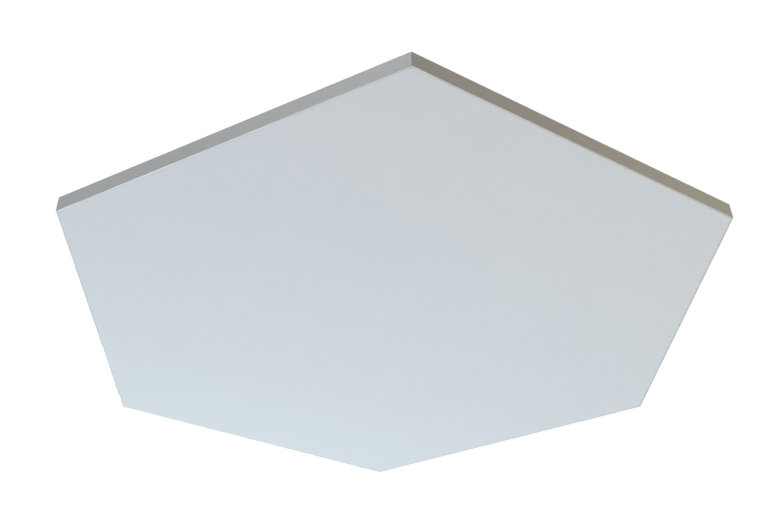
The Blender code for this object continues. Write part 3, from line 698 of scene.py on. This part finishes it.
def joined_flats(name, source, material):
    """A copy of a mesh: its loose triangles are welded, and those in one plane are joined to one face."""
    shape = bmesh.new()
    shape.from_mesh(source)
    bmesh.ops.remove_doubles(shape, verts=shape.verts, dist=0.01 * MILLIMETRE)
    bmesh.ops.dissolve_limit(shape, angle_limit=math.radians(0.5), verts=shape.verts, edges=shape.edges)
    points = [vertex.co[:] for vertex in shape.verts]
    faces = [[vertex.index for vertex in face.verts] for face in shape.faces]
    shape.free()
    return shaded_mesh(name, points, faces, material, BEVEL_DEGREES)


def soften(piece, round_edge):
    """Rounds the sharp edges. Hardened normals keep the flat faces flat in the light."""
    bevel = piece.modifiers.new("round_edges", "BEVEL")
    bevel.width = round_edge
    bevel.segments = BEVEL_SEGMENTS
    bevel.limit_method = "ANGLE"
    bevel.angle_limit = math.radians(BEVEL_DEGREES)
    bevel.harden_normals = True


def softened_copy(name, node, material, round_edge=EXTRUSION_ROUND):
    """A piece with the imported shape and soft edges, which stands for its CAD node."""
    soften(add_object(name, joined_flats(name, nodes[node].data, material), "panel", node), round_edge)


for number, material in enumerate(rail_materials, start=1):
    softened_copy(f"mitred_rail_{number}", f"frame_rail_{number}", material)
for number in (1, 2):
    bracket_material = mill_finish(f"mill_bracket_{number}", 0.0)
    softened_copy(f"angle_bracket_{number}", f"bar_bracket_{number}", bracket_material)
softened_copy("tee_bar", "cross_bar", mill_finish("mill_bar", 0.0))
for number in range(1, SIDES + 1):
    cleat_material = mill_finish(f"mill_cleat_{number}", SIDE_ANGLE * (number - 0.5) + math.pi / 2)
    softened_copy(f"cleat_{number}", f"corner_cleat_{number}", cleat_material, round_edge=CLEAT_ROUND)
print("edges softened")

# %% [markdown]
# ## Screws
# A screw is a turned shape with two things that a lathe profile alone can't give: a hexagon socket and a
# thread. Both are changes of the radius with the angle. In the socket the radius follows a hexagon, which
# is the flat's distance over the cosine of the angle from the nearest flat. On the thread a triangle wave
# that advances one pitch in each turn is taken off the radius. So one grid of rows and angles makes a whole
# screw.

# %% Turned screws
SCREW_POINTS = 48                   # round each row
ROWS_PER_TURN = 10
M4_RADIUS, M4_PITCH = 2.0 * MILLIMETRE, 0.70 * MILLIMETRE
M5_RADIUS, M5_PITCH = 2.5 * MILLIMETRE, 0.80 * MILLIMETRE
THREAD_SHARE = 0.60                 # depth of the thread as a share of its pitch
SOCKET_FLAT = 1.25 * MILLIMETRE     # middle of the socket to a flat
HEAD_SOCKET = 1.2 * MILLIMETRE      # depth of a socket in a head, then in a set screw
SET_SOCKET = 3.0 * MILLIMETRE
HEAD_HEIGHT = 2.2 * MILLIMETRE
HEAD_LAND = 1.9 * MILLIMETRE
HEAD_RIM = 0.8 * MILLIMETRE
HEAD_ROWS = 9
SOFT_EDGE = 0.15 * MILLIMETRE
SCREW_DEGREES = 40.0                # a sharper turn shows as an edge


def screw_rings(rows, pitch):
    """Rings of points from rows of radius, height, share of hexagon and depth of thread."""
    radius, height, hexagon, thread = (column[:, None] for column in np.array(rows).T)
    angle = np.linspace(0.0, 2.0 * math.pi, SCREW_POINTS, endpoint=False)[None]
    from_flat = (angle + math.pi / 6) % (math.pi / 3) - math.pi / 6
    wave = np.abs(2.0 * ((height / pitch - angle / (2.0 * math.pi)) % 1.0) - 1.0)
    reach = radius * (1.0 + hexagon * (1.0 / np.cos(from_flat) - 1.0)) - thread * wave
    height = np.broadcast_to(height, reach.shape)
    return np.stack([reach * np.cos(angle), reach * np.sin(angle), height], axis=-1)


def round_rows(*profile):
    """Rows of a plain turned profile of radius and height, with neither hexagon nor thread."""
    return [(radius, height, 0.0, 0.0) for radius, height in profile]


def socket_rows(top, depth):
    """From the drilled point at the socket's floor up its six walls to a round chamfer at the top."""
    floor = top - depth
    drilled = round_rows((0.3 * SOCKET_FLAT, floor - SOFT_EDGE)) + [(0.92 * SOCKET_FLAT, floor, 0.5, 0.0)]
    walls = [(SOCKET_FLAT, height, 1.0, 0.0) for height in (floor, top - 2.0 * SOFT_EDGE, top - SOFT_EDGE)]
    return drilled + walls + round_rows((SOCKET_FLAT / math.cos(math.pi / 6) + SOFT_EDGE, top))


def thread_rows(radius, top, bottom, pitch):
    """A threaded stretch. The thread runs in over one pitch and tapers off over the last one and a half."""
    depth = THREAD_SHARE * pitch
    height = np.arange(top, bottom, -pitch / ROWS_PER_TURN)
    run_in = np.clip((top - height) / pitch, 0.0, 1.0)
    run_out = np.clip((height - bottom) / (1.5 * pitch), 0.0, 1.0)
    outer = radius - depth * (1.0 - run_out)
    return [(r, h, 0.0, d) for r, h, d in zip(outer, height, depth * np.minimum(run_in, run_out))]


def button_screw(head, length):
    """An M4 button-head screw that stands on its seat at height 0, with its shank below."""
    turn = np.linspace(0.0, math.pi / 2, HEAD_ROWS)
    dome = zip(HEAD_LAND + (head - HEAD_LAND) * np.sin(turn),
               HEAD_RIM + (HEAD_HEIGHT - HEAD_RIM) * np.cos(turn))
    rim = [(head, SOFT_EDGE), (head - SOFT_EDGE, 0.0), (M4_RADIUS + SOFT_EDGE, 0.0), (M4_RADIUS, -SOFT_EDGE)]
    return (socket_rows(HEAD_HEIGHT, HEAD_SOCKET) + round_rows(*dome, *rim)
            + thread_rows(M4_RADIUS, -2.0 * SOFT_EDGE, SOFT_EDGE - length, M4_PITCH)
            + round_rows((0.5 * M4_RADIUS, -length)))


def set_screw(length):
    """A headless M5 screw that stands on height 0, with its socket at the top and a cup in its point."""
    cup = [(0.62 * M5_RADIUS, 0.0), (0.5 * M5_RADIUS, 0.0), (0.1 * M5_RADIUS, 0.3 * M5_RADIUS)]
    return (socket_rows(length, SET_SOCKET) + round_rows((M5_RADIUS - 2.0 * SOFT_EDGE, length))
            + thread_rows(M5_RADIUS, length - SOFT_EDGE, SOFT_EDGE, M5_PITCH) + round_rows(*cup))


def place_screw(name, node, rings, up, foot, spin, material=zinc_material):
    """Stands a screw in its node's box. up points to its head, and foot is the height of its lowest row."""
    low, high = (np.array(corner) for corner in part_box(node))
    up = np.array(up, float)
    lowest = (low + high) / 2.0 - up * np.dot(high - low, np.abs(up)) / 2.0
    side = np.cross(up, (0.0, 0.0, 1.0) if abs(up[2]) < 0.5 else (1.0, 0.0, 0.0))
    side = side * math.cos(spin) + np.cross(up, side) * math.sin(spin)
    other = np.cross(up, side)
    points, faces = closed_skin(rings)
    points = lowest + points[:, :1] * side + points[:, 1:2] * other + (points[:, 2:] - foot) * up
    add_piece(name, points, faces, material, "panel", node, SCREW_DEGREES)


def place_button(name, node, up, across, spin):
    """An M4 button-head screw as long as its node's box, with a head as wide as the box is across X or Z."""
    size = np.subtract(*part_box(node)[::-1])
    length = np.dot(size, np.abs(up)) - HEAD_HEIGHT
    rings = screw_rings(button_screw(size[across] / 2.0, length), M4_PITCH)
    place_screw(name, node, rings, up, -length, spin)


print("screw helpers ready")

# %% Put the screws in
SPIN_STEP = math.radians(23.0)      # each screw was stopped at another turn

count = 0
for place in ("1a", "1b", "2a", "2b", "3a", "3b"):
    place_button(f"strap_screw_{place}", f"hanger_screw_{place}", (0, 0, 1), 0, SPIN_STEP * count)
    count += 1
for number, side in ((1, 1), (2, -1)):
    for place, up in (("rail", (-side, 0, 0)), ("web", (0, side, 0))):
        place_button(f"{place}_screw_{number}", f"bracket_{place}_screw_{number}", up, 2, SPIN_STEP * count)
        count += 1
for place in (f"{number}{letter}" for number in range(1, SIDES + 1) for letter in "ab"):
    node = f"cleat_screw_{place}"
    low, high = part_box(node)
    rings = screw_rings(set_screw(high.z - low.z), M5_PITCH)
    place_screw(f"set_screw_{place}", node, rings, (0, 0, 1), 0.0, SPIN_STEP * count, black_material)
    count += 1
print(count, "screws")

# %% [markdown]
# ## Hanger plates
# A hanger plate is a T of 1.5 mm steel. Its stem is rolled into the knuckle that holds the ring's bar. The
# easy way to model rolled sheet is the workshop's: cut the flat blank with its holes first, then roll it by
# a formula. The blank is filled with triangles between its outline and its holes. One line across the stem
# for each step of the roll lets it bend smoothly.

# %% The flat blank
PLATE_THICKNESS = 1.5 * MILLIMETRE
PLATE_DEPTH = 11.0 * MILLIMETRE
PLATE_CORNER = 3.0 * MILLIMETRE
STEM_HALF = 10.0 * MILLIMETRE
STEM_FILLET = 1.5 * MILLIMETRE
HOLE_RADIUS = 2.25 * MILLIMETRE
HOLE_POINTS = 32
CORNER_POINTS = 13
FILLET_POINTS = 9
PLATE_ROUND = 0.15 * MILLIMETRE
ROLL_TURN = math.radians(295)
ROLL_STEPS = 60
plate_low, plate_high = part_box("hanger_plate_2")     # this plate and its ring stand square to X
ring_pivot = frame["joints"][1]["pos_m"]
PLATE_HALF = (plate_high.y - plate_low.y) / 2
ROLL_START = ring_pivot[0] - plate_low.x
ROLL_OUTER = ring_pivot[2] - plate_low.z
ROLL_MIDDLE = ROLL_OUTER - PLATE_THICKNESS / 2


def blank_outline():
    """One half of the T from its outer edge to the end of the stem, then its mirror image back again."""
    wide, deep = PLATE_HALF - PLATE_CORNER, PLATE_DEPTH - PLATE_CORNER
    fillet = (STEM_HALF + STEM_FILLET, PLATE_DEPTH + STEM_FILLET)
    roll = ROLL_START + ROLL_MIDDLE * np.linspace(0.0, ROLL_TURN, ROLL_STEPS + 1)
    stem = np.stack([np.full_like(roll, STEM_HALF), roll], axis=-1)
    half = np.vstack([arc((wide, PLATE_CORNER), PLATE_CORNER, -90, 0, CORNER_POINTS),
                      arc((wide, deep), PLATE_CORNER, 0, 90, CORNER_POINTS),
                      arc(fillet, STEM_FILLET, -90, -180, FILLET_POINTS), stem])
    return np.vstack([half, half[::-1] * (-1.0, 1.0)])


def closed_loop(first, count):
    """Pairs of point numbers round a loop."""
    number = first + np.arange(count)
    return np.stack([number, np.roll(number, -1)], axis=-1)


def blank_triangles(holes):
    """The blank's points and triangles. Triangles whose middle lies in a hole are left out."""
    outline = blank_outline()
    rings = [arc(hole, HOLE_RADIUS, 0, 360, HOLE_POINTS + 1)[:-1] for hole in holes]
    points = np.vstack([outline, *rings])
    loops = [closed_loop(0, len(outline))]
    loops += [closed_loop(len(outline) + HOLE_POINTS * n, HOLE_POINTS) for n in range(len(rings))]
    last = len(outline) // 2 - 1
    across = np.arange(last - ROLL_STEPS, last)
    lines = np.vstack(loops + [np.stack([across, len(outline) - 1 - across], axis=-1)])
    filled = delaunay_2d_cdt([Vector(point) for point in points.tolist()], lines.tolist(), [], 1, 1e-7)
    flat, triangles = np.array([point[:] for point in filled[0]]), np.array(filled[2])
    middle = flat[triangles].mean(axis=1)
    outside = [np.linalg.norm(middle - hole, axis=1) > HOLE_RADIUS for hole in holes]
    return flat, triangles[np.all(outside, axis=0)]


print(f"stem rolls from {ROLL_START:.4f} m on, at a middle radius of {ROLL_MIDDLE:.5f} m")

# %% Cut, rolled and fixed


def sheet_skin(flat, triangles):
    """Both sides of a sheet and the wall between them, which stands on edges that one triangle has alone."""
    edges = triangles[:, [0, 1, 1, 2, 2, 0]].reshape(-1, 2)
    _, where, times = np.unique(np.sort(edges, axis=1), axis=0, return_inverse=True, return_counts=True)
    rim = edges[times[where.ravel()] == 1]
    wall = np.hstack([rim, rim[:, ::-1] + len(flat)])
    return np.vstack([flat, flat]), [triangles[:, ::-1], wall, triangles + len(flat)]


def rolled(flat, height):
    """How far in and how far up each point lies. Past the start of the roll, the way along the stem turns
    into an angle round the ring's bar, and the height in the sheet makes the radius smaller."""
    turn = np.clip((flat[:, 1] - ROLL_START) / ROLL_MIDDLE, 0.0, None)
    radius = ROLL_OUTER - height
    return np.minimum(flat[:, 1], ROLL_START) + radius * np.sin(turn), -radius * np.cos(turn)


def hanger_axes(joint):
    """The middle of a ring's bar, the bar's direction and the level direction to the middle of the panel."""
    pivot, axis = np.array(joint["pos_m"]), np.array(joint["axis"])
    return pivot, axis, -pivot * (1.0, 1.0, 0.0) / np.linalg.norm(pivot[:2])


def make_plate(joint, number):
    """A plate rolled round its ring's bar, with its holes under its two screws."""
    pivot, axis, inwards = hanger_axes(joint)
    screws = [np.mean(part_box(f"hanger_screw_{number}{letter}"), axis=0) for letter in "ab"]
    holes = [(np.dot(screw - pivot, axis), np.dot(screw - pivot, inwards) + ROLL_START) for screw in screws]
    flat, faces = sheet_skin(*blank_triangles(holes))
    height = np.repeat([0.0, PLATE_THICKNESS], len(flat) // 2)
    reach, up = rolled(flat, height)
    points = pivot + flat[:, :1] * axis + (reach - ROLL_START)[:, None] * inwards
    points[:, 2] += up
    name = f"rolled_plate_{number}"
    piece = add_piece(name, points, faces, zinc_material, "panel", f"hanger_plate_{number}")
    piece.data = joined_flats(name, piece.data, zinc_material)
    soften(piece, PLATE_ROUND)


for number, joint in enumerate(frame["joints"], start=1):
    make_plate(joint, number)

# %% [markdown]
# ## D rings
# Each ring is one length of 4 mm wire, bent to a D and butt welded in its straight bar, which sits in the
# plate's knuckle. The wire's middle line is five pieces: the bar, two small bends, two legs and a half
# circle. Walking along it at even steps and carrying a circle gives a smooth tube that closes on itself.

# %% The middle line of a ring
WIRE_RADIUS = 2.0 * MILLIMETRE
RING_BEND = 3.7 * MILLIMETRE
RING_STEP = 0.6 * MILLIMETRE
WIRE_POINTS = 24                    # round the wire
ring_low, ring_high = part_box("hanger_ring_2")
RING_HALF = (ring_high.y - ring_low.y) / 2 - WIRE_RADIUS
ring_run = ring_high.x - WIRE_RADIUS - ring_pivot[0]
ring_drop = ring_pivot[2] - ring_low.z - WIRE_RADIUS
RING_REACH = math.hypot(ring_run, ring_drop)
RING_TILT = math.atan2(ring_drop, ring_run)


def arc_points(middle, radius, start, end):
    """Points on an arc between two angles in degrees, about a step apart, without the last."""
    count = max(3, math.ceil(radius * math.radians(abs(end - start)) / RING_STEP))
    return arc(middle, radius, start, end, count + 1)[:-1]


def ring_line():
    """The D in its own plane: the bar lies on y from -half to half at x = 0, and the D reaches along +x."""
    half, bend, shoulder = RING_HALF, RING_BEND, RING_REACH - RING_HALF
    return np.vstack([
        line_points((0.0, half - bend), (0.0, bend - half), RING_STEP),
        arc_points((bend, bend - half), bend, 180, 270),
        line_points((bend, -half), (shoulder, -half), RING_STEP),
        arc_points((shoulder, 0.0), half, -90, 90),
        line_points((shoulder, half), (bend, half), RING_STEP),
        arc_points((bend, half - bend), bend, 90, 180),
    ])


print(f"ring reaches {RING_REACH:.4f} m and lies {math.degrees(RING_TILT):.2f} degrees down")

# %% The rings


def tube(line, radius, around):
    """A circle carried along a closed flat line: each point moves out along the line's normal by the cosine
    and up by the sine of the angle round the wire."""
    normal = -inward_normals(line)
    angle = np.linspace(0.0, 2.0 * math.pi, around, endpoint=False)
    plan = line[:, None] + normal[:, None] * (radius * np.cos(angle))[None, :, None]
    height = np.broadcast_to(radius * np.sin(angle), plan.shape[:2])
    return np.concatenate([plan, height[..., None]], axis=-1)


def make_ring(joint, number):
    """A ring at rest, tilted down from its joint until it lies on the board's back."""
    node = f"hanger_ring_{number}"
    pivot, axis, inwards = hanger_axes(joint)
    along = inwards * math.cos(RING_TILT) - np.array([0.0, 0.0, math.sin(RING_TILT)])
    up = np.cross(along, axis)
    wire = tube(ring_line(), WIRE_RADIUS, WIRE_POINTS)
    points = pivot + wire[..., :1] * along + wire[..., 1:2] * axis + wire[..., 2:] * up
    faces = [grid_faces(*wire.shape[:2], round_rows=True, round_columns=True)]
    add_piece(f"ring_wire_{number}", points.reshape(-1, 3), faces, zinc_material, node, node)


for number, joint in enumerate(frame["joints"], start=1):
    make_ring(joint, number)

# %% [markdown]
# ## Light and floor
# The panel hangs over a pale floor. Two big soft lamps far below light the face: a cool one behind it, as a
# window across the room does, and a weak warm one in front, as the room itself does. The edges get one lamp
# each, cool from the left and warm from the right, and two overhead show the back. The world is white to
# the camera and in reflections, and dimmer as a light, so that pale colours do not clip. The floor gets a
# little light of its own for the camera's eye only, so it looks pale and still keeps the panel's soft
# shadow.

# %% Lamps
WORLD_LEVEL = 0.45
FLOOR_Z = -3.5
FLOOR_RADIUS = 9.0
FLOOR_FADE = 4.0
FLOOR_POINTS = 96
FLOOR_LIFT = 0.31                   # what the camera sees added to the floor, so that it looks pale


def soft_lamp(name, place, aim, size, level, colour):
    """A square lamp that gives its aim this level: 1 shows a facing surface at its own colour."""
    data = bpy.data.lights.new(name, "AREA")
    data.shape = "SQUARE"
    data.size = size
    data.color = colour
    line = Vector(aim) - Vector(place)
    data.energy = level * math.pi ** 2 * line.length_squared
    lamp = bpy.data.objects.new(name, data)
    lamp.location = place
    lamp.rotation_euler = line.to_track_quat("-Z", "Y").to_euler()
    lamp.visible_camera = False
    bpy.context.scene.collection.objects.link(lamp)
    print(f"{name} {data.energy:.0f} W")


soft_lamp("window_lamp", (-1.0, 2.2, -2.3), (0.0, 0.1, FACE_Z), 2.4, 0.853, (0.703, 0.901, 1.0))
soft_lamp("room_lamp", (1.0, -0.8, -2.8), (0.0, 0.0, FACE_Z), 2.4, 0.207, (1.0, 0.70, 0.50))
soft_lamp("left_lamp", (-2.7, -2.0, 0.3), (-0.30, -0.42, FACE_Z), 1.6, 0.551, (0.651, 0.791, 1.0))
soft_lamp("right_lamp", (2.2, -0.9, 0.1), (0.45, -0.30, FACE_Z), 1.2, 0.34, (1.0, 0.82, 0.24))
soft_lamp("back_lamp", (-0.9, -1.1, 2.8), (0.0, 0.0, BACK_Z), 1.8, 0.43, (0.94, 0.97, 1.0))
soft_lamp("far_back_lamp", (0.9, 1.6, 2.6), (0.0, 0.0, BACK_Z), 1.4, 0.22, (1.0, 0.99, 0.96))

# %% World and floor


def set_world(level):
    """White where the camera sees it, straight or by reflection, and this level where it is a light."""
    world = bpy.data.worlds.new("studio")
    world.use_nodes = True
    bpy.context.scene.world = world
    tree = world.node_tree
    tree.nodes.clear()
    path = tree.nodes.new("ShaderNodeLightPath")
    seen = Wire(tree, path.outputs["Is Camera Ray"]).largest(Wire(tree, path.outputs["Is Glossy Ray"]))
    seen = seen.largest(Wire(tree, path.outputs["Is Transmission Ray"]))
    light = seen.node("ShaderNodeBackground", {"Color": (0.98, 0.99, 1.0, 1.0), "Strength": level})
    white = seen.node("ShaderNodeBackground", {"Color": grey(1.0), "Strength": 1.0})
    both = seen.node("ShaderNodeMixShader", {0: seen, 1: light, 2: white})
    output = tree.nodes.new("ShaderNodeOutputWorld")
    tree.links.new(both.socket, output.inputs["Surface"])


def add_floor():
    """A round pale floor that fades out at its edge, so that no horizon shows."""
    material, place = start_finish("pale_floor")
    tree = material.node_tree
    shader = tree.nodes["Principled BSDF"]
    speckle = place.noise(40.0, 3.0)
    colour = speckle.blend(grey(0.78), grey(0.82))
    tree.links.new(colour.socket, shader.inputs["Base Color"])
    shader.inputs["Roughness"].default_value = 0.8
    camera = tree.nodes.new("ShaderNodeLightPath").outputs["Is Camera Ray"]
    tree.links.new(camera, shader.inputs["Emission Color"])
    shader.inputs["Emission Strength"].default_value = FLOOR_LIFT
    distance = place.node("ShaderNodeVectorMath", {0: place}, output=1, operation="LENGTH")
    edge = distance.step(FLOOR_RADIUS - FLOOR_FADE, FLOOR_RADIUS)
    clear = edge.node("ShaderNodeBsdfTransparent", {})
    mixed = edge.node("ShaderNodeMixShader", {0: edge, 1: Wire(tree, shader.outputs[0]), 2: clear})
    tree.links.new(mixed.socket, tree.nodes["Material Output"].inputs["Surface"])
    rim = arc((0.0, 0.0), FLOOR_RADIUS, 0, 360, FLOOR_POINTS + 1)[:-1].tolist()
    points = [(x, y, FLOOR_Z) for x, y in rim]
    mesh = shaded_mesh("floor", points, [list(range(FLOOR_POINTS))], material, BEVEL_DEGREES)
    floor = bpy.data.objects.new("floor", mesh)
    bpy.context.scene.collection.objects.link(floor)


set_world(WORLD_LEVEL)
add_floor()
bpy.context.scene.view_settings.view_transform = "Standard"
print("world and floor ready")
